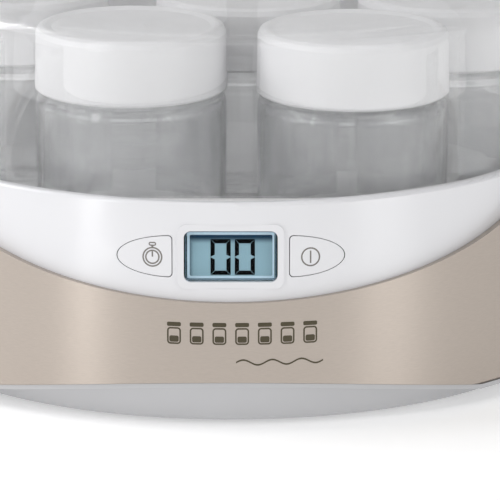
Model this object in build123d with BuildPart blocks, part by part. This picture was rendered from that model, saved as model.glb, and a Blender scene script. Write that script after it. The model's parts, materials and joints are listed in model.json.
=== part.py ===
"""Yogurt maker: a round electric warming base with a flat well, seven glass jars with white caps,
a clear lift-off cover, and a front fascia with an LCD and two push buttons.

Frame: millimetres, +Z up, origin on the table under the centre of the round body.
The front, with the display, faces -Y, and the mains inlet is at +Y.
"""

from build123d import *
from math import atan, cos, degrees, radians, sin
import os

os.makedirs("parts", exist_ok=True)

# ---- driving dimensions of the body ------------------------------------------------------
body_radius = 132.0  # outside of the metallic band
deck_height = 80.0  # top of the deck ring above the table
deck_radius = 125.5  # outer edge of the white deck ring
fascia_foot_radius = 129.7  # the fascia cone, where the band takes over
fascia_foot_height = 46.2
shell_wall = 2.2
fit_gap = 0.3  # free space between pieces that nest

# The band's upper edge at the front dips along half an ellipse, seen from the front.
smile_half_width = 110.0
smile_depth = 37.0

# The band's lower edge is level, and arches up across the front.
band_low_height = 7.5
arch_half_width = 88.0
arch_rise = 10.4
lip_height = 1.6  # white bead under the band
lip_radius = 131.7

# ---- base shell --------------------------------------------------------------------------
floor_low = 1.5  # underside of the base shell
floor_top = 4.0
foot_radius = 122.5  # base shell at the table
taper_top = 16.5
seam_height = 25.0  # where the base shell meets the upper housing
tongue_height = 4.0
tongue_radius = 127.2
skirt_radius = fascia_foot_radius
skirt_inner_radius = 125.0

# ---- heated well -------------------------------------------------------------------------
well_radius = 117.0
well_wall = 1.6
well_floor_top = 52.2
well_floor = 2.0
flange_top = deck_height - 2.0
flange_thickness = 1.5
flange_radius = 122.1
shelf_radius = 119.2  # ledge of the housing that carries the flange
well_flat_y = -110.5  # the well is flat in front, to leave room for the electronics

# ---- clear cover -------------------------------------------------------------------------
cover_radius = 122.0
cover_shoulder_radius = 120.6
cover_wall = 2.0
cover_edge_height = 139.0
cover_crown = 2.5
crown_radius = 60.0  # the level middle of the top
cover_shoulder_fillet = 9.0

# ---- jars and caps -----------------------------------------------------------------------
jar_radius = 33.7
jar_wall = 2.4
jar_floor = 4.0
jar_height = 75.0
jar_shoulder_height = 54.5
neck_radius = 31.2
neck_wall = 2.6
bead_radius = 31.8
cap_radius = 34.0
cap_top_radius = 33.6
cap_inner_radius = 32.3
cap_height = 23.0
cap_top_wall = 1.8
cap_gap = 0.2  # between the jar's rim and the underside of the cap
cap_recess_radius = 28.0
cap_recess_depth = 0.8

# The jars stand loose on the flat floor of the well, so their places are not quite regular.
jar_places = {
    "front_left": (-35.4, -64.6),
    "front_right": (42.8, -70.3),
    "mid_left": (-79.0, 1.7),
    "centre": (6.0, -8.0),
    "mid_right": (79.5, -9.5),
    "back_left": (-38.0, 70.0),
    "back_right": (44.0, 66.0),
}

# ---- fascia: display and buttons ---------------------------------------------------------
panel_height = 61.65  # centre of the display above the table
window_width, window_height = 31.8, 17.2
window_corner = 2.2
window_front, window_back = -0.8, -3.9  # depth measured from the fascia's front line
pad_width, pad_height, pad_depth = 36.5, 22.2, 0.4
button_inner, button_tip = 20.3, 39.0  # distance of a button's two ends from the centre line
button_half_height = 7.0
button_corner = 1.3
button_gap = 0.3
button_back = -7.6
board_front, board_back = -10.8, -12.4
board_width, board_height = 80.0, 25.0
board_screw_places = [(-30.0, -10.4), (30.0, -10.4), (-30.0, 10.4), (30.0, 10.4)]
board_screw_radius = 0.95
lcd_front, lcd_back = -4.3, -7.4
switch_place = 26.5

# ---- fasteners, feet and inlet -----------------------------------------------------------
screw_circle = 113.0
screw_angles = (45, 135, 225, 315)
screw_radius = 1.6
foot_circle = 98.0
rubber_foot_radius = 9.0
inlet_height = 16.5
screw_seat = 13.5  # where the case screw heads bear
inlet_bore = 3.6
inlet_shaft_radius = 5.6
inlet_flange_radius = 7.6
inlet_steps = [  # start and end along +Y, and radius
    (117.0, 121.0, inlet_flange_radius),
    (120.0, 130.5, inlet_shaft_radius),
    (129.9, 131.6, inlet_flange_radius),
]

# ---- electrical parts --------------------------------------------------------------------
heater_radius = 64.0
heater_thickness = 3.5
power_board_low = 12.0
board_thickness = 1.6
power_board_centre = (0, 55)
power_screw_places = [(-35.0, 34.0), (35.0, 34.0), (-35.0, 76.0), (35.0, 76.0)]


def save(part, name):
    """Label a finished piece and write its STEP file."""
    part.label = name
    export_step(part, f"parts/{name}.step")


def ring(low, high, outer, inner):
    """A plain ring between two heights, made outside any builder."""
    with BuildPart(mode=Mode.PRIVATE) as tube:
        with BuildSketch(Plane.XY.offset(low)):
            Circle(outer)
            Circle(inner, mode=Mode.SUBTRACT)
        extrude(amount=high - low)
    return tube.part


# Derived sizes
fascia_slope = (fascia_foot_radius - deck_radius) / (deck_height - fascia_foot_height)
fascia_lean = degrees(atan(fascia_slope))
smile_centre_height = fascia_foot_height + smile_depth


def fascia_radius(z):
    """Outer radius of the fascia cone at a height above its foot."""
    return deck_radius + (deck_height - z) * fascia_slope


lean_cos, lean_sin = cos(radians(fascia_lean)), sin(radians(fascia_lean))
panel_plane = Plane(
    origin=(0, -fascia_radius(panel_height), panel_height),
    x_dir=(1, 0, 0),
    z_dir=(0, -lean_cos, lean_sin),
)


def button_outline(side, grow=0.0):
    """Half an ellipse with its straight side towards the display. side is -1 or 1."""
    half_height = button_half_height + grow
    inner = side * (button_inner - grow)
    tip = side * (button_tip + grow)
    with BuildSketch(mode=Mode.PRIVATE) as outline:
        with Locations((inner, 0)):
            Ellipse(abs(tip - inner), half_height)
        with Locations((inner - side * button_tip, 0)):
            Rectangle(2 * button_tip, 3 * half_height, mode=Mode.SUBTRACT)
        corners = outline.vertices().filter_by(lambda v: abs(v.X - inner) < 0.01 and abs(v.Y) > 1)
        fillet(corners, button_corner + grow / 2)
    return outline.sketch


# ==== outer band ==========================================================================
with BuildPart() as outer_band:
    with BuildSketch(Plane.XZ):
        with BuildLine():
            Polyline(
                (body_radius - 0.8, band_low_height),
                (body_radius, band_low_height + 0.8),
                (body_radius, deck_height - 1.4),
                (body_radius - 1.4, deck_height),
                (deck_radius + fit_gap, deck_height),
                (fascia_foot_radius + fit_gap, fascia_foot_height),
                (fascia_foot_radius + fit_gap, band_low_height),
                close=True,
            )
        make_face()
    revolve(axis=Axis.Z)
    # the smile: the band's top edge dips to show the fascia
    with BuildSketch(Plane.XZ):
        with Locations((0, smile_centre_height)):
            Ellipse(smile_half_width, smile_depth)
    extrude(amount=2 * body_radius, mode=Mode.SUBTRACT)
    # the arch across the lower front
    with BuildSketch(Plane.XZ):
        with BuildLine():
            ThreePointArc(
                (-arch_half_width, band_low_height),
                (0, band_low_height + arch_rise),
                (arch_half_width, band_low_height),
            )
            Line((arch_half_width, band_low_height), (-arch_half_width, band_low_height))
        make_face()
    extrude(amount=2 * body_radius, mode=Mode.SUBTRACT)
    # opening round the mains inlet
    with BuildSketch(Plane.XZ):
        with Locations((0, inlet_height)):
            Circle(8.0)
    extrude(amount=-2 * body_radius, mode=Mode.SUBTRACT)
save(outer_band.part, "outer_band")

# ==== base shell ==========================================================================
with BuildPart() as arch_lip:
    with BuildSketch(Plane.XZ):
        low = band_low_height - 0.15
        with BuildLine():
            Line((-2 * body_radius, low), (-arch_half_width, low))
            ThreePointArc((-arch_half_width, low), (0, low + arch_rise), (arch_half_width, low))
            Line((arch_half_width, low), (2 * body_radius, low))
            Line((2 * body_radius, low), (2 * body_radius, low - lip_height))
            Line((2 * body_radius, low - lip_height), (arch_half_width, low - lip_height))
            ThreePointArc(
                (arch_half_width, low - lip_height),
                (0, low + arch_rise - lip_height),
                (-arch_half_width, low - lip_height),
            )
            Line((-arch_half_width, low - lip_height), (-2 * body_radius, low - lip_height))
            Line((-2 * body_radius, low - lip_height), (-2 * body_radius, low))
        make_face()
    extrude(amount=2 * body_radius)
    with BuildSketch(Plane.XZ):
        with Locations((0, low - lip_height / 2)):
            Rectangle(4 * body_radius, lip_height)
    extrude(amount=-2 * body_radius)
    with BuildSketch(Plane.XY):
        Circle(lip_radius)
        Circle(skirt_inner_radius, mode=Mode.SUBTRACT)
    extrude(amount=2 * seam_height, mode=Mode.INTERSECT)

with BuildPart() as base_shell:
    with BuildSketch(Plane.XZ):
        with BuildLine():
            Polyline(
                (0, floor_low),
                (foot_radius - 1.2, floor_low),
                (foot_radius, floor_low + 1.2),
                (skirt_radius, taper_top),
                (skirt_radius, seam_height - 0.2),
                (tongue_radius, seam_height - 0.2),
                (tongue_radius, seam_height + tongue_height),
                (skirt_inner_radius, seam_height + tongue_height),
                (skirt_inner_radius, taper_top + 3),
                (foot_radius - shell_wall, floor_top),
                (0, floor_top),
                close=True,
            )
        make_face()
    revolve(axis=Axis.Z)
    add(arch_lip.part)
    # tubes for the case screws
    with BuildSketch(Plane.XY.offset(floor_low)):
        with PolarLocations(screw_circle, 4, start_angle=45):
            Circle(5.0)
    extrude(amount=seam_height - 0.2 - floor_low)
    # posts for the power board, with pilot holes
    with BuildSketch(Plane.XY.offset(floor_top - 0.5)):
        with Locations(*power_screw_places):
            Circle(3.0)
    extrude(amount=power_board_low - floor_top + 0.5)
    with BuildSketch(Plane.XY.offset(power_board_low)):
        with Locations(*power_screw_places):
            Circle(1.2)
    extrude(amount=-5.6, mode=Mode.SUBTRACT)
    # screw clearance and head recesses, from below
    with BuildSketch(Plane.XY.offset(floor_low)):
        with PolarLocations(screw_circle, 4, start_angle=45):
            Circle(screw_radius + 0.3)
    extrude(amount=seam_height, mode=Mode.SUBTRACT)
    with BuildSketch(Plane.XY.offset(floor_low)):
        with PolarLocations(screw_circle, 4, start_angle=45):
            Circle(3.4)
    extrude(amount=screw_seat - floor_low, mode=Mode.SUBTRACT)
    # seats of the rubber feet and holes for their stems
    with BuildSketch(Plane.XY.offset(floor_low)):
        with PolarLocations(foot_circle, 4, start_angle=45):
            Circle(rubber_foot_radius + fit_gap)
    extrude(amount=1.0, mode=Mode.SUBTRACT)
    with BuildSketch(Plane.XY.offset(floor_low)):
        with PolarLocations(foot_circle, 4, start_angle=45):
            Circle(3.1)
    extrude(amount=3.0, mode=Mode.SUBTRACT)
    # cooling slots in the floor, each side of the centre
    with BuildSketch(Plane.XY.offset(floor_low)):
        with Locations((0, -30)):
            with GridLocations(34, 9, 3, 5):
                SlotOverall(24, 3)
    extrude(amount=floor_top - floor_low, mode=Mode.SUBTRACT)
    # hole for the mains inlet
    with BuildSketch(Plane.XZ):
        with Locations((0, inlet_height)):
            Circle(inlet_shaft_radius + 0.2)
    extrude(amount=-2 * body_radius, mode=Mode.SUBTRACT)
save(base_shell.part, "base_shell")

# ==== upper housing: deck ring and fascia =================================================
def wall_inner_radius(z):
    """Inner radius of the fascia wall at a height."""
    low_height, high_height = fascia_foot_height - 1.5, flange_top - flange_thickness - 2.1
    low_radius, high_radius = tongue_radius + fit_gap, deck_radius - 1.9
    return low_radius + (z - low_height) * (high_radius - low_radius) / (high_height - low_height)


def cone_between(inset):
    """Everything inside the fascia wall's inner face, grown outwards by a distance."""
    low_height, high_height = fascia_foot_height, deck_height - 8.0
    with BuildPart(mode=Mode.PRIVATE) as cone:
        with BuildSketch(Plane.XZ):
            with BuildLine():
                Polyline(
                    (0, low_height),
                    (wall_inner_radius(low_height) + inset, low_height),
                    (wall_inner_radius(high_height) + inset, high_height),
                    (0, high_height),
                    close=True,
                )
            make_face()
        revolve(axis=Axis.Z)
    return cone.part


shelf_top = flange_top - flange_thickness - 0.1
with BuildPart() as board_posts:
    with BuildSketch(panel_plane.offset(board_front)):
        with Locations(*board_screw_places):
            Circle(2.2)
    extrude(amount=12)
    add(cone_between(1.0), mode=Mode.INTERSECT)

with BuildPart() as upper_housing:
    with BuildSketch(Plane.XZ):
        with BuildLine():
            Polyline(
                (fascia_foot_radius, seam_height),
                (fascia_foot_radius, fascia_foot_height),
                (deck_radius, deck_height),
                (cover_radius + 0.4, deck_height),
                (cover_radius + 0.4, shelf_top),
                (shelf_radius, shelf_top),
                (shelf_radius, shelf_top - 2.0),
                (deck_radius - 1.9, shelf_top - 2.0),
                (tongue_radius + fit_gap, fascia_foot_height - 1.5),
                (tongue_radius + fit_gap, seam_height),
                close=True,
            )
        make_face()
    revolve(axis=Axis.Z)
    deck_circles = upper_housing.edges().filter_by(GeomType.CIRCLE).group_by(Axis.Z)[-1]
    outer_rim = deck_circles.sort_by(SortBy.RADIUS)[-1]
    fillet(outer_rim, 1.3)
    # lugs that take the case screws
    for angle in screw_angles:
        with BuildSketch(Plane.XY.offset(seam_height).rotated((0, 0, angle))):
            with Locations(((screw_circle + tongue_radius) / 2 + 0.5, 0)):
                Rectangle(tongue_radius - screw_circle + 1.0, 10.0)
            with Locations((screw_circle, 0)):
                Circle(5.0)
        extrude(amount=9.0)
    # those lugs pass over the base shell's tongue
    tongue_slot = ring(
        seam_height - 1,
        seam_height + tongue_height + 0.3,
        tongue_radius + fit_gap,
        skirt_inner_radius - fit_gap,
    )
    add(tongue_slot, mode=Mode.SUBTRACT)
    with BuildSketch(Plane.XY.offset(seam_height)):
        with PolarLocations(screw_circle, 4, start_angle=45):
            Circle(screw_radius)
    extrude(amount=9.0, mode=Mode.SUBTRACT)
    # flat pad round the display, a little proud of the curved fascia at its two ends
    with BuildSketch(panel_plane.offset(-4.0)):
        RectangleRounded(pad_width, pad_height, 3.0)
    extrude(amount=4.0 - pad_depth)
    with BuildSketch(panel_plane.offset(-pad_depth)):
        RectangleRounded(pad_width, pad_height, 3.0)
    extrude(amount=5, mode=Mode.SUBTRACT)
    # opening for the display window
    with BuildSketch(panel_plane.offset(-8)):
        RectangleRounded(window_width + 0.4, window_height + 0.4, window_corner + 0.2)
    extrude(amount=20, mode=Mode.SUBTRACT)
    # button openings
    for side in (-1, 1):
        with BuildSketch(panel_plane.offset(-14)):
            add(button_outline(side, button_gap))
        extrude(amount=24, mode=Mode.SUBTRACT)
    # posts that carry the control board, with pilot holes
    add(board_posts.part)
    with BuildSketch(panel_plane.offset(board_front)):
        with Locations(*board_screw_places):
            Circle(board_screw_radius)
    extrude(amount=4.2, mode=Mode.SUBTRACT)
save(upper_housing.part, "upper_housing")

# ==== display window, display and control board ===========================================
with BuildPart() as display_window:
    with BuildSketch(panel_plane.offset(window_back)):
        RectangleRounded(window_width, window_height, window_corner)
    extrude(amount=window_front - window_back)
    front_centre = panel_plane.offset(window_front).origin
    chamfer(display_window.faces().sort_by_distance(front_centre)[0].edges(), 0.6)
save(display_window.part, "display_window")

with BuildPart() as lcd_module:
    with BuildSketch(panel_plane.offset(lcd_back)):
        RectangleRounded(30.0, 17.0, 0.6)
    extrude(amount=lcd_front - lcd_back)
    with BuildSketch(panel_plane.offset(board_front)):
        with Locations((0, 7.6), (0, -7.6)):
            Rectangle(24.0, 1.2)
    extrude(amount=lcd_back - board_front)
save(lcd_module.part, "lcd_module")

with BuildPart() as control_board:
    with BuildSketch(panel_plane.offset(board_back)):
        RectangleRounded(board_width, board_height, 1.5)
        with Locations(*board_screw_places):
            Circle(board_screw_radius + 0.3, mode=Mode.SUBTRACT)
    extrude(amount=board_front - board_back)
    # controller chip on the back
    with BuildSketch(panel_plane.offset(board_back)):
        Rectangle(9.0, 9.0)
    extrude(amount=-0.9)
save(control_board.part, "control_board")

with BuildPart() as button_switches:
    with BuildSketch(panel_plane.offset(board_front)):
        with Locations((-switch_place, 0), (switch_place, 0)):
            Rectangle(6.0, 6.0)
    extrude(amount=1.4)
    with BuildSketch(panel_plane.offset(board_front + 1.4)):
        with Locations((-switch_place, 0), (switch_place, 0)):
            Circle(1.7)
    extrude(amount=0.7)
save(button_switches.part, "button_switches")

with BuildPart() as board_screws:
    with BuildSketch(panel_plane.offset(board_back)):
        with Locations(*board_screw_places):
            Circle(1.9)
    extrude(amount=-1.0)
    with BuildSketch(panel_plane.offset(board_back)):
        with Locations(*board_screw_places):
            Circle(board_screw_radius)
    extrude(amount=5.0)
save(board_screws.part, "board_screws")


# ==== buttons =============================================================================
def fascia_solid():
    """The solid body bounded by the fascia's outer cone."""
    with BuildPart(mode=Mode.PRIVATE) as cone:
        with BuildSketch(Plane.XZ):
            with BuildLine():
                Polyline(
                    (0, fascia_foot_height),
                    (fascia_foot_radius, fascia_foot_height),
                    (deck_radius, deck_height),
                    (0, deck_height),
                    close=True,
                )
            make_face()
        revolve(axis=Axis.Z)
    return cone.part


for side, name in ((-1, "timer_button"), (1, "power_button")):
    # retaining rim behind the fascia wall
    with BuildPart(mode=Mode.PRIVATE) as rim:
        with BuildSketch(panel_plane.offset(button_back)):
            add(button_outline(side, 1.2))
        extrude(amount=8)
        add(cone_between(-0.35), mode=Mode.INTERSECT)
    with BuildPart() as button:
        with BuildSketch(panel_plane.offset(button_back)):
            add(button_outline(side))
        extrude(amount=10)
        add(fascia_solid(), mode=Mode.INTERSECT)
        add(rim.part)
    save(button.part, name)

# ==== heated well =========================================================================
def flat_disc(radius, flat):
    """A disc cut straight across at the front."""
    with BuildSketch(mode=Mode.PRIVATE) as disc:
        Circle(radius)
        with Locations((0, flat - radius)):
            Rectangle(2 * radius, 2 * radius, mode=Mode.SUBTRACT)
    return disc.sketch


with BuildPart() as heating_well:
    with BuildSketch(Plane.XY.offset(well_floor_top - well_floor)):
        add(flat_disc(well_radius + well_wall, well_flat_y - well_wall))
    extrude(amount=flange_top - flange_thickness + 0.5 - well_floor_top + well_floor)
    fillet(heating_well.edges().group_by(Axis.Z)[0], 3.5)
    with BuildSketch(Plane.XY.offset(flange_top - flange_thickness)):
        Circle(flange_radius)
    extrude(amount=flange_thickness)
    with BuildPart(mode=Mode.SUBTRACT):
        with BuildSketch(Plane.XY.offset(well_floor_top)):
            add(flat_disc(well_radius, well_flat_y))
        extrude(amount=flange_top - well_floor_top + 5)
save(heating_well.part, "heating_well")

# ==== heater, plate and sensors under the well ============================================
well_underside = well_floor_top - well_floor
with BuildPart() as heating_element:
    with BuildSketch(Plane.XY.offset(well_underside - heater_thickness)):
        Circle(heater_radius + 6.0)
        Circle(heater_radius - 6.0, mode=Mode.SUBTRACT)
    extrude(amount=heater_thickness)
    # two terminals
    with BuildSketch(Plane.XY.offset(well_underside - heater_thickness)):
        with Locations((-6, heater_radius + 8), (6, heater_radius + 8)):
            Rectangle(5.0, 6.0)
    extrude(amount=1.0)
save(heating_element.part, "heating_element")

with BuildPart() as heater_plate:
    with BuildSketch(Plane.XY.offset(well_underside - heater_thickness - 1.5)):
        Circle(heater_radius + 20.0)
        Circle(22.0, mode=Mode.SUBTRACT)
        with Locations((0, heater_radius + 9)):
            Rectangle(24.0, 12.0, mode=Mode.SUBTRACT)
    extrude(amount=1.5)
save(heater_plate.part, "heater_plate")

with BuildPart() as temp_sensor:
    with BuildSketch(Plane.XY.offset(well_underside - 5.0)):
        with Locations((-8, 0)):
            Circle(4.0)
    extrude(amount=5.0)
    with BuildSketch(Plane.XY.offset(well_underside - 1.0)):
        with Locations((-8, 0)):
            SlotOverall(18.0, 7.0)
    extrude(amount=1.0)
save(temp_sensor.part, "temp_sensor")

with BuildPart() as thermal_fuse:
    with BuildSketch(Plane.XZ.offset(-8.0)):
        with Locations((9, well_underside - 2.2)):
            Circle(2.0)
    extrude(amount=16.0)
    with BuildSketch(Plane.XY.offset(well_underside - 4.0)):
        with Locations((9, 0)):
            Rectangle(6.0, 5.0)
    extrude(amount=4.0)
save(thermal_fuse.part, "thermal_fuse")

# ==== power board and what stands on it ===================================================
with BuildPart() as power_board:
    with BuildSketch(Plane.XY.offset(power_board_low)):
        with Locations(power_board_centre):
            RectangleRounded(86.0, 58.0, 3.0)
        with Locations(*power_screw_places):
            Circle(1.5, mode=Mode.SUBTRACT)
    extrude(amount=board_thickness)
save(power_board.part, "power_board")

power_board_top = power_board_low + board_thickness
with BuildPart() as transformer:
    with BuildSketch(Plane.XY.offset(power_board_top)):
        with Locations((-20, 50)):
            Rectangle(30.0, 26.0)
    extrude(amount=20.0)
    with BuildSketch(Plane.XY.offset(power_board_top + 3)):
        with Locations((-20, 50)):
            Rectangle(22.0, 34.0)
    extrude(amount=14.0)
    chamfer(transformer.faces().sort_by(Axis.Z)[-1].edges(), 0.6)
save(transformer.part, "transformer")

with BuildPart() as relay:
    with BuildSketch(Plane.XY.offset(power_board_top)):
        with Locations((17, 45)):
            RectangleRounded(20.0, 16.0, 0.8)
    extrude(amount=15.5)
    chamfer(relay.faces().sort_by(Axis.Z)[-1].edges(), 0.5)
save(relay.part, "relay")

with BuildPart() as capacitor:
    with BuildSketch(Plane.XY.offset(power_board_top)):
        with Locations((13, 64)):
            Circle(5.0)
    extrude(amount=16.0)
    fillet(capacitor.edges().group_by(Axis.Z)[-1], 0.8)
save(capacitor.part, "capacitor")

with BuildPart() as terminal_block:
    with BuildSketch(Plane.XY.offset(power_board_top)):
        with Locations((-2, 77)):
            Rectangle(18.0, 9.0)
    extrude(amount=10.0)
    # wire entries facing the inlet
    with BuildSketch(Plane.XZ.offset(-81.5)):
        with Locations((-6.5, inlet_height + 1.5), (2.5, inlet_height + 1.5)):
            Circle(1.6)
    extrude(amount=6.0, mode=Mode.SUBTRACT)
save(terminal_block.part, "terminal_block")

with BuildPart() as power_board_screws:
    with BuildSketch(Plane.XY.offset(power_board_top)):
        with Locations(*power_screw_places):
            Circle(2.6)
    extrude(amount=1.6)
    with BuildSketch(Plane.XY.offset(power_board_top)):
        with Locations(*power_screw_places):
            Circle(1.2)
    extrude(amount=-7.0)
save(power_board_screws.part, "power_board_screws")

# ==== mains inlet bush ====================================================================
with BuildPart() as inlet_bush:
    for start, end, radius in inlet_steps:
        with BuildSketch(Plane.XZ.offset(-end)):
            with Locations((0, inlet_height)):
                Circle(radius)
        extrude(amount=end - start)
    with BuildSketch(Plane.XZ.offset(-140)):
        with Locations((0, inlet_height)):
            Circle(inlet_bore)
    extrude(amount=40, mode=Mode.SUBTRACT)
save(inlet_bush.part, "inlet_bush")

# ==== case screws and rubber feet =========================================================
with BuildPart() as case_screws:
    with BuildSketch(Plane.XY.offset(screw_seat)):
        with PolarLocations(screw_circle, 4, start_angle=45):
            Circle(3.0)
    extrude(amount=-2.2)
    with BuildSketch(Plane.XY.offset(screw_seat)):
        with PolarLocations(screw_circle, 4, start_angle=45):
            Circle(screw_radius - 0.1)
    extrude(amount=19.0)
    # cross recesses
    with BuildSketch(Plane.XY.offset(screw_seat - 2.2)):
        with PolarLocations(screw_circle, 4, start_angle=45):
            Rectangle(3.4, 0.7)
            Rectangle(0.7, 3.4)
    extrude(amount=1.2, mode=Mode.SUBTRACT)
save(case_screws.part, "case_screws")

with BuildPart() as rubber_feet:
    with BuildSketch(Plane.XY):
        with PolarLocations(foot_circle, 4, start_angle=45):
            Circle(rubber_foot_radius)
    extrude(amount=floor_low + 1.0)
    chamfer(rubber_feet.edges().group_by(Axis.Z)[0], 0.6)
    with BuildSketch(Plane.XY.offset(floor_low + 1.0)):
        with PolarLocations(foot_circle, 4, start_angle=45):
            Circle(3.0)
    extrude(amount=2.6)
save(rubber_feet.part, "rubber_feet")

# ==== clear cover =========================================================================
def cover_face(inset):
    """Half section of the dome, shrunk inwards by a distance."""
    shoulder = cover_shoulder_fillet - inset
    edge_radius = cover_radius - inset
    shoulder_radius = cover_shoulder_radius - inset
    flat_radius = shoulder_radius - shoulder
    edge_height = cover_edge_height - inset
    bulge = shoulder * (1 - cos(radians(45)))
    with BuildSketch(mode=Mode.PRIVATE) as face:
        with BuildLine():
            Polyline(
                (0, edge_height + cover_crown),
                (0, flange_top),
                (edge_radius, flange_top),
                (shoulder_radius, edge_height - shoulder),
            )
            ThreePointArc(
                (shoulder_radius, edge_height - shoulder),
                (shoulder_radius - bulge, edge_height - bulge),
                (flat_radius, edge_height),
            )
            Polyline(
                (flat_radius, edge_height),
                (crown_radius, edge_height + cover_crown),
                (0, edge_height + cover_crown),
            )
        make_face()
    return face.sketch


with BuildPart() as cover:
    with BuildSketch(Plane.XZ):
        add(cover_face(0))
    revolve(axis=Axis.Z)
    with BuildSketch(Plane.XZ):
        add(cover_face(cover_wall))
    revolve(axis=Axis.Z, mode=Mode.SUBTRACT)
save(cover.part, "cover")

# ==== jars and caps =======================================================================
with BuildPart() as jar_blank:
    with BuildSketch(Plane.XZ):
        with BuildLine():
            Polyline(
                (0, 1.0),
                (jar_radius - 9.0, 1.0),
                (jar_radius - 10.5, 0),
                (jar_radius - 3.0, 0),
                (jar_radius, 4.0),
                (jar_radius, jar_shoulder_height - 5.2),
                (jar_radius - 0.2, jar_shoulder_height - 3.5),
                (jar_radius - 0.6, jar_shoulder_height - 2.3),
                (jar_radius - 1.3, jar_shoulder_height - 1.3),
                (neck_radius, jar_shoulder_height - 0.2),
                (neck_radius, 60.0),
                (bead_radius, 61.0),
                (bead_radius, 63.0),
                (neck_radius, 64.0),
                (neck_radius, jar_height - 1.0),
                (neck_radius - 1.0, jar_height),
                (neck_radius - neck_wall + 1.0, jar_height),
                (neck_radius - neck_wall, jar_height - 1.0),
                (neck_radius - neck_wall, jar_shoulder_height + 1.0),
                (jar_radius - jar_wall, jar_shoulder_height - 5.0),
                (jar_radius - jar_wall, jar_floor + 6.0),
                (jar_radius - jar_wall - 5.0, jar_floor),
                (0, jar_floor),
                close=True,
            )
        make_face()
    revolve(axis=Axis.Z)

with BuildPart() as cap_blank:
    with BuildSketch(Plane.XZ):
        with BuildLine():
            Polyline(
                (cap_inner_radius, 0.6),
                (cap_inner_radius + 0.4, 0),
                (cap_radius - 0.9, 0),
                (cap_radius, 0.9),
                (cap_top_radius, cap_height - 2.6),
                (cap_top_radius - 0.8, cap_height - 0.8),
                (cap_top_radius - 2.4, cap_height),
                (cap_top_radius - 3.6, cap_height),
                (cap_recess_radius, cap_height - cap_recess_depth),
                (0, cap_height - cap_recess_depth),
                (0, cap_height - cap_recess_depth - cap_top_wall),
                (cap_inner_radius - 1.5, cap_height - cap_recess_depth - cap_top_wall),
                (cap_inner_radius, cap_height - cap_recess_depth - cap_top_wall - 1.5),
                close=True,
            )
        make_face()
    revolve(axis=Axis.Z)

cap_bottom = jar_height + cap_gap + cap_top_wall + cap_recess_depth - cap_height
for place, (x, y) in jar_places.items():
    save(jar_blank.part.moved(Location((x, y, well_floor_top))), f"jar_{place}")
    save(cap_blank.part.moved(Location((x, y, well_floor_top + cap_bottom))), f"cap_{place}")
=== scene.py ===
"""Looks of the yogurt maker: materials, printed marks, display, lights and camera.

Metres, +Z up, the display faces -Y. Lengths written with MM are millimetres.
"""

import json
import math

import bmesh
import bpy
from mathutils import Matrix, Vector


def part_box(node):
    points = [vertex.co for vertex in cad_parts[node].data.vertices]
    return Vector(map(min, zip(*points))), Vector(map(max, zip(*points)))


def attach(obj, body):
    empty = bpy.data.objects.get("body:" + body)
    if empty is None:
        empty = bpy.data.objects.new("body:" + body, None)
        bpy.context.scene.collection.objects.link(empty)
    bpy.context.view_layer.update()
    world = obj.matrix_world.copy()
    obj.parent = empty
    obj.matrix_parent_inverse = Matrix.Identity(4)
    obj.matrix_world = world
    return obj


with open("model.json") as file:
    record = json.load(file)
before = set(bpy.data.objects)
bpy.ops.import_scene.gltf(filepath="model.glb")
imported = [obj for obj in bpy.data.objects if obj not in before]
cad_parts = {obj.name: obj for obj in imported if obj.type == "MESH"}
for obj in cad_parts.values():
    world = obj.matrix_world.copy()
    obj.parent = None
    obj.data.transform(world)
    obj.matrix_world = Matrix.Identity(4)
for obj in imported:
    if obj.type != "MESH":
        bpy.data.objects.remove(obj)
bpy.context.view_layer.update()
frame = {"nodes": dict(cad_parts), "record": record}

MM = 0.001

# The fascia is a cone whose radius falls from its foot to the deck. The display sits on its front.
body_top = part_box("upper_housing")[1]
FOOT_RADIUS = body_top[0]
DECK_HEIGHT = body_top[2]
FOOT_HEIGHT = 46.2 * MM
DECK_RADIUS = 125.5 * MM
PANEL_HEIGHT = 61.65 * MM
BAND_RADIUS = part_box("outer_band")[1][0]
LEAN = math.atan((FOOT_RADIUS - DECK_RADIUS) / (DECK_HEIGHT - FOOT_HEIGHT))
ACROSS = Vector((1, 0, 0))
UPHILL = Vector((0, math.sin(LEAN), math.cos(LEAN)))
OUTWARD = Vector((0, -math.cos(LEAN), math.sin(LEAN)))


def cone_radius(z):
    return DECK_RADIUS + (DECK_HEIGHT - z) * math.tan(LEAN)


PANEL_CENTRE = Vector((0, -cone_radius(PANEL_HEIGHT), PANEL_HEIGHT))

# The display: places run across and up the panel from its centre, depths go in from its front.
SCREEN_DEPTH = 4.3 * MM
SCREEN_WIDTH, SCREEN_HEIGHT, SCREEN_CORNER = 28.4 * MM, 14.2 * MM, 0.5 * MM
SCREEN_SHIFT = 0.1 * MM
MASK_WIDTH, MASK_HEIGHT, MASK_CORNER, MASK_STROKE = 31.2 * MM, 16.6 * MM, 1.4 * MM, 0.28 * MM
DIGIT_WIDTH, DIGIT_HEIGHT, DIGIT_STROKE = 6.95 * MM, 12.4 * MM, 1.5 * MM
DIGIT_PLACES = (-3.5 * MM, 4.83 * MM)
DIGIT_LEVEL = -0.56 * MM

# The icons on the buttons.
TIMER_PLACE, POWER_PLACE = -26.9 * MM, 27.4 * MM
ICON_LEVEL = -0.33 * MM
ICON_STROKE = 0.5 * MM
ICON_LIFT = 0.015 * MM

# The motif on the band: its heights count from the surface that the object stands on.
MOTIF_LIFT = 0.02 * MM
JAR_COUNT = 7
JAR_PITCH = 7.8 * MM
JAR_MIDDLE, JAR_LEVEL = 3.9 * MM, 34.5 * MM
JAR_WIDTH, JAR_HEIGHT = 4.8 * MM, 6.0 * MM
WAVE_START, WAVE_LEVEL = 1.8 * MM, 25.2 * MM
WAVE_LENGTH, WAVE_SIZE = 30 * MM, 0.9 * MM
WAVE_COUNT = 3

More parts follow.
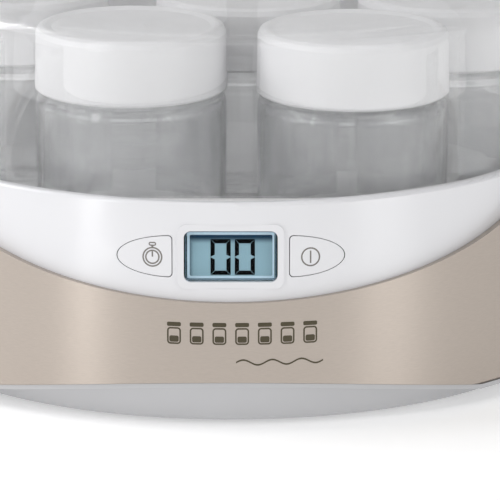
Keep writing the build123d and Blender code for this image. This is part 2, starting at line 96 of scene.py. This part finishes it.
# Printed layers are cut into short quads, so that they follow curved surfaces, and then welded.
LONGEST_QUAD = 0.8 * MM
WELD_DISTANCE = 0.002 * MM

# The inner corner of a stroked outline is never sharper than this.
SHARPEST_CORNER = 0.02 * MM


# ---- places ------------------------------------------------------------------------------


def on_panel(depth):
    """Places (across, up) on a flat plane behind the panel's front line."""

    def place(x, s):
        return PANEL_CENTRE + ACROSS * x + UPHILL * s - OUTWARD * depth

    return place


def on_fascia(lift):
    """Places (across, up) on the curved fascia, lifted off it a little."""

    def place(x, s):
        start = PANEL_CENTRE + ACROSS * x + UPHILL * s
        out = 0.0
        for _ in range(8):  # enough rounds to close in on the cone
            point = start + OUTWARD * out
            out += (cone_radius(point.z) - math.hypot(point.x, point.y)) / math.cos(LEAN)
        return start + OUTWARD * (out + lift)

    return place


def on_band(lift):
    """Places (across, height) on the front of the band, for a layer as thick as the lift.

    They stop half the lift short of the band's foremost line, so that the layer never passes it.
    """

    def place(x, z):
        radius = BAND_RADIUS + lift
        front = min(math.sqrt(radius * radius - x * x), BAND_RADIUS - lift / 2)
        return Vector((x, -front, z))

    return place


# ---- flat shapes, as lists of quads in (across, up) --------------------------------------


def ring(cx, cy, outer, inner, steps=48):
    """A flat ring."""
    quads = []
    for i in range(steps):
        a, b = (2 * math.pi * k / steps for k in (i, i + 1))
        quads.append([
            (cx + r * math.cos(t), cy + r * math.sin(t))
            for r, t in ((inner, a), (outer, a), (outer, b), (inner, b))
        ])
    return quads


def bar(x0, y0, x1, y1, width, steps=6):
    """A straight stroke between two points."""
    length = math.hypot(x1 - x0, y1 - y0)
    ux, uy = (x1 - x0) / length, (y1 - y0) / length
    half = width / 2
    quads = []
    for i in range(steps):
        ends = [(x0 + (x1 - x0) * k / steps, y0 + (y1 - y0) * k / steps) for k in (i, i + 1)]
        (ax, ay), (bx, by) = ends
        quads.append([
            (ax - uy * half, ay + ux * half),
            (ax + uy * half, ay - ux * half),
            (bx + uy * half, by - ux * half),
            (bx - uy * half, by + ux * half),
        ])
    return quads


def rounded_outline(width, height, corner, steps=6):
    """Corner points of a rounded rectangle round the origin, anticlockwise."""
    points = []
    for quarter, (sx, sy) in enumerate(((1, 1), (-1, 1), (-1, -1), (1, -1))):
        for i in range(steps + 1):
            angle = math.pi / 2 * (quarter + i / steps)
            points.append((
                sx * (width / 2 - corner) + corner * math.cos(angle),
                sy * (height / 2 - corner) + corner * math.sin(angle),
            ))
    return points


def rounded_frame(cx, cy, width, height, corner, stroke):
    """The stroked outline of a rounded rectangle."""
    outer = rounded_outline(width, height, corner)
    inner = rounded_outline(width - 2 * stroke, height - 2 * stroke, max(corner - stroke, SHARPEST_CORNER))
    count = len(outer)
    quads = []
    for i in range(count):
        j = (i + 1) % count
        quads.append([(cx + p[0], cy + p[1]) for p in (inner[i], outer[i], outer[j], inner[j])])
    return quads


def rounded_plate(cx, cy, width, height, corner):
    """A filled rounded rectangle, as upright strips from its right edge to its left."""
    outline = rounded_outline(width, height, corner)
    half = len(outline) // 2
    upper, lower = outline[:half], outline[half:][::-1]
    quads = []
    for (a, b), (c, d) in zip(zip(upper, upper[1:]), zip(lower, lower[1:])):
        quads.append([(cx + p[0], cy + p[1]) for p in (a, b, d, c)])
    return quads


def digit(cx, cy, width, height, stroke, segments):
    """A seven-segment digit with mitred, slightly parted segments."""
    w, h, t, gap = width / 2, height / 2, stroke, 0.08 * MM
    strokes = {
        "top": ((-w, h), (w, h), (w - t, h - t), (-w + t, h - t)),
        "bottom": ((-w + t, -h + t), (w - t, -h + t), (w, -h), (-w, -h)),
        "upper_left": ((-w, h), (-w + t, h - t), (-w + t, t / 2), (-w, 0)),
        "lower_left": ((-w, 0), (-w + t, -t / 2), (-w + t, -h + t), (-w, -h)),
        "upper_right": ((w, h), (w, 0), (w - t, t / 2), (w - t, h - t)),
        "lower_right": ((w, 0), (w, -h), (w - t, -h + t), (w - t, -t / 2)),
    }
    quads = []
    for name in segments:
        corners = strokes[name]
        mx, my = (sum(p[k] for p in corners) / 4 for k in (0, 1))
        shrunk = []
        for x, y in corners:
            distance = math.hypot(x - mx, y - my)
            keep = (distance - gap) / distance
            shrunk.append((cx + mx + (x - mx) * keep, cy + my + (y - my) * keep))
        quads.append(shrunk)
    return quads


def split(quad, longest):
    """Cuts a quad into smaller ones, so that it can follow a curved surface."""
    a, b, c, d = (Vector(p) for p in quad)
    across = math.ceil(max((b - a).length, (c - d).length) / longest)
    along = math.ceil(max((d - a).length, (c - b).length) / longest)

    def point(i, j):
        return a.lerp(b, i / across).lerp(d.lerp(c, i / across), j / along)

    return [
        [point(i, j), point(i + 1, j), point(i + 1, j + 1), point(i, j + 1)]
        for i in range(across)
        for j in range(along)
    ]


# ---- materials ---------------------------------------------------------------------------

# Noise runs from 0 to 1, but most of it lies between these two.
NOISE_LOW, NOISE_HIGH = 0.3, 0.7


def new_material(name):
    material = bpy.data.materials.new(name)
    material.use_nodes = True
    nodes = material.node_tree.nodes
    return material, nodes, material.node_tree.links, nodes["Principled BSDF"]


def noise(nodes, links, scale, detail=3.0, stretch=(1, 1, 1)):
    """Noise in object coordinates, its scale counted per metre."""
    where = nodes.new("ShaderNodeTexCoord")
    mapping = nodes.new("ShaderNodeMapping")
    mapping.inputs["Scale"].default_value = stretch
    texture = nodes.new("ShaderNodeTexNoise")
    texture.inputs["Scale"].default_value = scale
    texture.inputs["Detail"].default_value = detail
    links.new(where.outputs["Object"], mapping.inputs["Vector"])
    links.new(mapping.outputs["Vector"], texture.inputs["Vector"])
    return texture.outputs["Fac"]


def ramp(nodes, links, factor, low, high):
    """Colour that runs from low to high as the noise rises."""
    node = nodes.new("ShaderNodeValToRGB")
    node.color_ramp.elements[0].position = NOISE_LOW
    node.color_ramp.elements[1].position = NOISE_HIGH
    node.color_ramp.elements[0].color = (*low, 1)
    node.color_ramp.elements[1].color = (*high, 1)
    links.new(factor, node.inputs["Fac"])
    return node.outputs["Color"]


def spread(nodes, links, factor, low, high):
    """Number that runs from low to high as the noise rises."""
    node = nodes.new("ShaderNodeMapRange")
    node.inputs["From Min"].default_value = NOISE_LOW
    node.inputs["From Max"].default_value = NOISE_HIGH
    node.inputs["To Min"].default_value = low
    node.inputs["To Max"].default_value = high
    links.new(factor, node.inputs["Value"])
    return node.outputs["Result"]


def bump(nodes, links, shader, height, strength, distance):
    node = nodes.new("ShaderNodeBump")
    node.inputs["Strength"].default_value = strength
    node.inputs["Distance"].default_value = distance
    links.new(height, node.inputs["Height"])
    links.new(node.outputs["Normal"], shader.inputs["Normal"])


def plastic(
    name, colour, roughness, variation=0.02, grain=900, depth=0.02 * MM, coat=0.0, sheen=0.5
):
    """Moulded plastic: faint flow variation, uneven gloss and a fine moulded grain."""
    material, nodes, links, shader = new_material(name)
    low = tuple(max(c * (1 - variation), 0) for c in colour)
    high = tuple(min(c * (1 + variation), 1) for c in colour)
    cloud = noise(nodes, links, scale=28)
    links.new(ramp(nodes, links, cloud, low, high), shader.inputs["Base Color"])
    smear = noise(nodes, links, scale=90, detail=5)
    gloss = spread(nodes, links, smear, roughness * 0.85, roughness * 1.15)
    links.new(gloss, shader.inputs["Roughness"])
    bump(nodes, links, shader, noise(nodes, links, grain, detail=2), strength=0.25, distance=depth)
    shader.inputs["Specular IOR Level"].default_value = sheen
    shader.inputs["Coat Weight"].default_value = coat
    shader.inputs["Coat Roughness"].default_value = 0.12
    return material


def clear(name, tint, index, opacity, clarity=1.0, waves=0.01 * MM, streak=0.985):
    """Clear glass or plastic with upright moulding streaks.

    opacity is the share of the light that meets the surface, and the rest goes straight on.
    clarity is the share that then passes through. waves is the depth of the ripples, and streak
    the factor on the tint where a streak is darkest.
    """
    material, nodes, links, shader = new_material(name)
    roughness = 0.01
    streaks = noise(nodes, links, scale=75, stretch=(1, 1, 0.15))
    low = tuple(c * streak for c in tint)
    links.new(ramp(nodes, links, streaks, low, tint), shader.inputs["Base Color"])
    smear = noise(nodes, links, scale=60, detail=4)
    gloss = spread(nodes, links, smear, roughness * 0.7, roughness * 1.3)
    links.new(gloss, shader.inputs["Roughness"])
    ripples = noise(nodes, links, scale=45, detail=2, stretch=(1, 1, 0.2))
    bump(nodes, links, shader, ripples, strength=0.5, distance=waves)
    shader.inputs["Transmission Weight"].default_value = clarity
    shader.inputs["IOR"].default_value = index
    shader.inputs["Alpha"].default_value = opacity
    # lamps shine through to what stands behind
    path = nodes.new("ShaderNodeLightPath")
    through = nodes.new("ShaderNodeBsdfTransparent")
    through.inputs["Color"].default_value = (0.96, 0.96, 0.96, 1)
    mix = nodes.new("ShaderNodeMixShader")
    links.new(path.outputs["Is Shadow Ray"], mix.inputs["Fac"])
    links.new(shader.outputs["BSDF"], mix.inputs[1])
    links.new(through.outputs["BSDF"], mix.inputs[2])
    links.new(mix.outputs["Shader"], nodes["Material Output"].inputs["Surface"])
    return material


def brushed(name, colour, roughness, lines, stretch, anisotropy=0.0, metallic=1.0):
    """Metal with fine parallel lines along one direction."""
    material, nodes, links, shader = new_material(name)
    grain = noise(nodes, links, lines, detail=4, stretch=stretch)
    low = tuple(c * 0.95 for c in colour)
    high = tuple(min(c * 1.04, 1) for c in colour)
    links.new(ramp(nodes, links, grain, low, high), shader.inputs["Base Color"])
    gloss = spread(nodes, links, grain, roughness * 0.9, roughness * 1.12)
    links.new(gloss, shader.inputs["Roughness"])
    bump(nodes, links, shader, grain, strength=0.2, distance=0.004 * MM)
    shader.inputs["Metallic"].default_value = metallic
    if anisotropy:
        tangent = nodes.new("ShaderNodeTangent")
        tangent.direction_type = "RADIAL"
        tangent.axis = "Z"
        links.new(tangent.outputs["Tangent"], shader.inputs["Tangent"])
        shader.inputs["Anisotropic"].default_value = anisotropy
        shader.inputs["Anisotropic Rotation"].default_value = 0.25  # a quarter turn
    return material


def paint_shade(material, dark, edges):
    """Paints shade into a finish: darkens its colour towards two edges, each given as axis, start, end and
    strength.
    """
    nodes, links = material.node_tree.nodes, material.node_tree.links
    shader = nodes["Principled BSDF"]
    plain = shader.inputs["Base Color"].links[0].from_socket
    where = nodes.new("ShaderNodeTexCoord")
    parts = nodes.new("ShaderNodeSeparateXYZ")
    links.new(where.outputs["Object"], parts.inputs["Vector"])
    strongest = nodes.new("ShaderNodeMath")
    strongest.operation = "MAXIMUM"
    for socket, (axis, start, end, strength) in zip(strongest.inputs, edges):
        fade = nodes.new("ShaderNodeMapRange")
        fade.interpolation_type = "SMOOTHSTEP"
        fade.inputs["From Min"].default_value = start
        fade.inputs["From Max"].default_value = end
        fade.inputs["To Max"].default_value = strength
        links.new(parts.outputs[axis], fade.inputs["Value"])
        links.new(fade.outputs["Result"], socket)
    mix = nodes.new("ShaderNodeMix")
    mix.data_type = "RGBA"
    links.new(strongest.outputs["Value"], mix.inputs["Factor"])
    links.new(plain, mix.inputs["A"])
    mix.inputs["B"].default_value = (*dark, 1)
    links.new(mix.outputs["Result"], shader.inputs["Base Color"])


def circuit(name):
    """Green solder mask with lighter copper tracks under it."""
    material, nodes, links, shader = new_material(name)
    where = nodes.new("ShaderNodeTexCoord")
    brick = nodes.new("ShaderNodeTexBrick")
    brick.inputs["Scale"].default_value = 320
    brick.inputs["Mortar Size"].default_value = 0.06
    brick.inputs["Color1"].default_value = (0.010, 0.075, 0.030, 1)
    brick.inputs["Color2"].default_value = (0.013, 0.090, 0.038, 1)
    brick.inputs["Mortar"].default_value = (0.03, 0.17, 0.07, 1)
    links.new(where.outputs["Object"], brick.inputs["Vector"])
    links.new(brick.outputs["Color"], shader.inputs["Base Color"])
    bump(nodes, links, shader, brick.outputs["Fac"], strength=0.3, distance=0.02 * MM)
    shader.inputs["Roughness"].default_value = 0.35
    return material


WHITE = (0.83, 0.83, 0.85)

# plastic takes colour, roughness, variation, grain per metre and grain depth, in that order;
# brushed takes colour, roughness, lines per metre and how they stretch along each axis
finishes = {
    "body_white": plastic("body_white", WHITE, 0.22, 0.01, 1400, 0.006 * MM, coat=0.2),
    "button_white": plastic("button_white", WHITE, 0.24, 0.01, 1400, 0.006 * MM, coat=0.2),
    "cap_white": plastic("cap_white", (0.76, 0.76, 0.77), 0.36, 0.012, 1100, 0.012 * MM),
    "band": brushed("band", (0.508, 0.447, 0.395), 0.31, 420, (1, 1, 14), anisotropy=0.75, metallic=0.85),
    # painted shade: the base shell is a darker grey than the body's white, standing in for the shade under
    # the band
    "base_grey": plastic("base_grey", (0.52, 0.52, 0.53), 0.42, 0.008, 1400, 0.001 * MM),
    "well_white": plastic("well_white", (0.80, 0.80, 0.80), 0.35, 0.015, 1200, 0.01 * MM),
    "heater": plastic("heater", (0.33, 0.07, 0.035), 0.6, 0.08),
    "steel": brushed("steel", (0.60, 0.61, 0.62), 0.32, 900, (1, 4, 1)),
    "fuse_body": plastic("fuse_body", (0.78, 0.74, 0.64), 0.55, 0.05),
    "window": clear("window", (0.92, 0.965, 0.99), index=1.2, opacity=0.25),
    "lcd": plastic("lcd", (0.60, 0.79, 0.90), 0.3, 0.03),
    "circuit_board": circuit("circuit_board"),
    "black_plastic": plastic("black_plastic", (0.02, 0.02, 0.022), 0.4, 0.1),
    "relay_case": plastic("relay_case", (0.02, 0.07, 0.32), 0.35, 0.06),
    "transformer_core": plastic("transformer_core", (0.60, 0.42, 0.06), 0.45, 0.08),
    "terminal_plastic": plastic("terminal_plastic", (0.03, 0.26, 0.07), 0.42, 0.06),
    "bush_plastic": plastic("bush_plastic", (0.60, 0.60, 0.60), 0.45, 0.03),
    "rubber": plastic("rubber", (0.09, 0.09, 0.095), 0.75, 0.1, 700, 0.04 * MM),
    "cover_clear": clear("cover_clear", (0.985, 0.99, 0.99), index=1.4, opacity=0.2),
    "jar_glass": clear(
        "jar_glass",
        (0.99, 0.995, 1.0),
        index=1.52,
        opacity=0.85,
        clarity=0.91,
        waves=2.2 * MM,
        streak=0.95,
    ),
}

for row in frame["record"]["subparts"]:
    for slot in frame["nodes"][row["node"]].material_slots:
        slot.material = finishes[row["material_slot"]]

ink = plastic("print_ink", (0.058, 0.046, 0.020), 0.5, 0.08)
icon_ink = plastic("icon_ink", (0.21, 0.195, 0.18), 0.5, 0.05)
mask_ink = plastic("mask_ink", (0.035, 0.095, 0.16), 0.4, 0.08, sheen=0.1)
digit_ink = plastic("digit_ink", (0.001, 0.0015, 0.002), 0.5, 0.08, sheen=0.05)
screen = plastic("screen", (0.275, 0.435, 0.505), 0.35, 0.04, 2600, 0.004 * MM, sheen=0.2)

# painted shade: the screen's colour is darkened along its top and its left edge, where the window's rim
# shades it
screen_corner = on_panel(SCREEN_DEPTH)(-SCREEN_WIDTH / 2, SCREEN_HEIGHT / 2)
paint_shade(screen, (0.005, 0.035, 0.075), (
    ("Z", screen_corner.z - 3.2 * MM, screen_corner.z - 0.6 * MM, 1.0),
    ("X", screen_corner.x + 1.5 * MM, screen_corner.x, 0.6),
))


# ---- pieces ------------------------------------------------------------------------------


def lay(name, quads, place, body, material, thickness=0.03 * MM):
    """A thin layer, such as print, made of quads laid on a surface."""
    work = bmesh.new()
    for quad in quads:
        for small in split(quad, LONGEST_QUAD):
            work.faces.new([work.verts.new(place(x, y)) for x, y in small])
    bmesh.ops.remove_doubles(work, verts=work.verts, dist=WELD_DISTANCE)
    bmesh.ops.recalc_face_normals(work, faces=work.faces)
    mesh = bpy.data.meshes.new(name)
    work.to_mesh(mesh)
    work.free()
    piece = bpy.data.objects.new(name, mesh)
    bpy.context.scene.collection.objects.link(piece)
    mesh.materials.append(material)
    solid = piece.modifiers.new("thickness", "SOLIDIFY")
    solid.thickness = thickness
    solid.offset = 0
    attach(piece, body)


def build_screen():
    plate = rounded_plate(SCREEN_SHIFT, 0, SCREEN_WIDTH, SCREEN_HEIGHT, SCREEN_CORNER)
    lay("lcd_screen", plate, on_panel(SCREEN_DEPTH - 0.02 * MM), "base", screen)
    mask = rounded_frame(0, 0, MASK_WIDTH, MASK_HEIGHT, MASK_CORNER, MASK_STROKE)
    lay("lcd_mask", mask, on_panel(SCREEN_DEPTH - 0.15 * MM), "base", mask_ink)
    zero = ("top", "bottom", "upper_left", "lower_left", "upper_right", "lower_right")
    quads = []
    for centre in DIGIT_PLACES:
        quads += digit(centre, DIGIT_LEVEL, DIGIT_WIDTH, DIGIT_HEIGHT, DIGIT_STROKE, zero)
    lay("lcd_digits", quads, on_panel(SCREEN_DEPTH - 0.08 * MM), "base", digit_ink)


def build_timer_icon():
    """A stopwatch: two rings, a hand, a stem and a crown."""
    cx, cy = TIMER_PLACE, ICON_LEVEL
    outer, inner = 3.45 * MM, 2.5 * MM
    hand_foot, hand_tip = 0.1 * MM, 1.95 * MM
    stem_foot, stem_tip, stem_width = 3.4 * MM, 4.0 * MM, 0.7 * MM
    crown_level, crown_width, crown_height = 4.5 * MM, 2.6 * MM, 1.35 * MM
    crown_corner, crown_stroke = 0.67 * MM, 0.42 * MM
    quads = ring(cx, cy, outer, outer - ICON_STROKE)
    quads += ring(cx, cy, inner, inner - ICON_STROKE)
    quads += bar(cx, cy + hand_foot, cx, cy + hand_tip, ICON_STROKE)
    quads += bar(cx, cy + stem_foot, cx, cy + stem_tip, stem_width)
    quads += rounded_frame(cx, cy + crown_level, crown_width, crown_height, crown_corner, crown_stroke)
    lay("timer_icon", quads, on_fascia(ICON_LIFT), "timer_button", icon_ink)


def build_power_icon():
    """A ring with an upright stroke in it."""
    cx, cy = POWER_PLACE, ICON_LEVEL
    outer, reach = 3.3 * MM, 2.15 * MM
    quads = ring(cx, cy, outer, outer - ICON_STROKE)
    quads += bar(cx, cy - reach, cx, cy + reach, ICON_STROKE)
    lay("power_icon", quads, on_fascia(ICON_LIFT), "power_button", icon_ink)


def small_jar(cx, cy):
    """A jar in outline, part filled, with its cap above it."""
    corner, stroke = 1.2 * MM, 0.55 * MM
    fill_width, fill_height, fill_corner = JAR_WIDTH - 1.6 * MM, JAR_HEIGHT - 3.8 * MM, 0.6 * MM
    fill_level, cap_level = -1.1 * MM, 4.1 * MM
    cap_height, cap_corner = 1.5 * MM, 0.5 * MM
    quads = rounded_frame(cx, cy, JAR_WIDTH, JAR_HEIGHT, corner, stroke)
    quads += rounded_plate(cx, cy + fill_level, fill_width, fill_height, fill_corner)
    quads += rounded_plate(cx, cy + cap_level, JAR_WIDTH, cap_height, cap_corner)
    return quads


def wavy_line(steps=60, half=0.3 * MM):
    """A thin line that swings up and down as it runs across."""
    quads = []
    for i in range(steps):
        ends = []
        for k in (i, i + 1):
            swing = WAVE_SIZE * math.sin(WAVE_COUNT * 2 * math.pi * k / steps)
            ends.append((WAVE_START + WAVE_LENGTH * k / steps, WAVE_LEVEL + swing))
        (ax, ay), (bx, by) = ends
        quads.append([(ax, ay + half), (ax, ay - half), (bx, by - half), (bx, by + half)])
    return quads


def build_motif():
    """A row of small jars and a thin wavy line, printed on the band."""
    quads = []
    for i in range(JAR_COUNT):
        quads += small_jar(JAR_MIDDLE + (i - JAR_COUNT // 2) * JAR_PITCH, JAR_LEVEL)
    quads += wavy_line()
    lay("band_motif", quads, on_band(MOTIF_LIFT), "base", ink, MOTIF_LIFT)


build_screen()
build_timer_icon()
build_power_icon()
build_motif()

# ---- floor, lights and camera ------------------------------------------------------------

FLOOR_HALF = 6.0
FLOOR_GLOW = 0.3
LENS, SENSOR = 320.2, 36
CAMERA_PLACE = (0.0066, -1.6, 0.452)
CAMERA_DIP = 14.76  # degrees below level
SKY_GLOW = 0.39


def build_floor():
    work = bmesh.new()
    bmesh.ops.create_grid(work, x_segments=8, y_segments=8, size=FLOOR_HALF)
    mesh = bpy.data.meshes.new("floor")
    work.to_mesh(mesh)
    work.free()
    floor = bpy.data.objects.new("floor", mesh)
    bpy.context.scene.collection.objects.link(floor)
    white = plastic("floor_white", (0.9, 0.9, 0.9), 0.7, 0.005, 300)
    shader = white.node_tree.nodes["Principled BSDF"]
    shader.inputs["Emission Color"].default_value = (1, 1, 1, 1)
    shader.inputs["Emission Strength"].default_value = FLOOR_GLOW
    mesh.materials.append(white)


def softbox(name, place, aim, width, height, power, colour=(1, 1, 1)):
    """A rectangular lamp at a place, turned towards its aim."""
    light = bpy.data.lights.new(name, "AREA")
    light.shape = "RECTANGLE"
    light.size = width
    light.size_y = height
    light.energy = power
    light.color = colour
    lamp = bpy.data.objects.new(name, light)
    lamp.location = place
    lamp.rotation_euler = (Vector(aim) - Vector(place)).to_track_quat("-Z", "Y").to_euler()
    bpy.context.scene.collection.objects.link(lamp)


def build_lights():
    softbox("key_left", (-1.42, 0.0, 1.1), (0, 0, 0.08), 0.9, 0.9, power=11, colour=(0.985, 0.98, 1))
    softbox("strip_left", (-0.62, -0.66, 0.30), (0, 0, 0.05), 0.125, 0.55, power=1.15)
    softbox("strip_right", (1.02, -0.90, 0.40), (0, 0, 0.05), 0.45, 0.8, power=2.55)
    softbox("front_high", (0.3, -0.8, 1.25), (0, -0.07, 0.1), 1.3, 0.26, power=2.7)
    softbox("overhead", (0, 0.1, 1.5), (0, 0, 0), 1.4, 1.4, power=2.5)


def build_sky():
    """An even white light from all sides."""
    world = bpy.data.worlds.new("world")
    world.use_nodes = True
    background = world.node_tree.nodes["Background"]
    background.inputs["Color"].default_value = (1, 1, 1, 1)
    background.inputs["Strength"].default_value = SKY_GLOW
    bpy.context.scene.world = world


def build_camera():
    camera = bpy.data.cameras.new("camera")
    camera.sensor_width = SENSOR
    camera.lens = LENS
    camera.clip_start = 0.05
    camera.clip_end = 60
    eye = bpy.data.objects.new("camera", camera)
    eye.location = CAMERA_PLACE
    eye.rotation_euler = (math.radians(90 - CAMERA_DIP), 0, 0)
    bpy.context.scene.collection.objects.link(eye)
    bpy.context.scene.camera = eye


build_floor()
build_camera()
build_lights()
build_sky()

scene = bpy.context.scene
scene.view_settings.view_transform = "Standard"

# glass behind glass takes many bounces
scene.cycles.max_bounces = 24
scene.cycles.transmission_bounces = 24
scene.cycles.transparent_max_bounces = 48
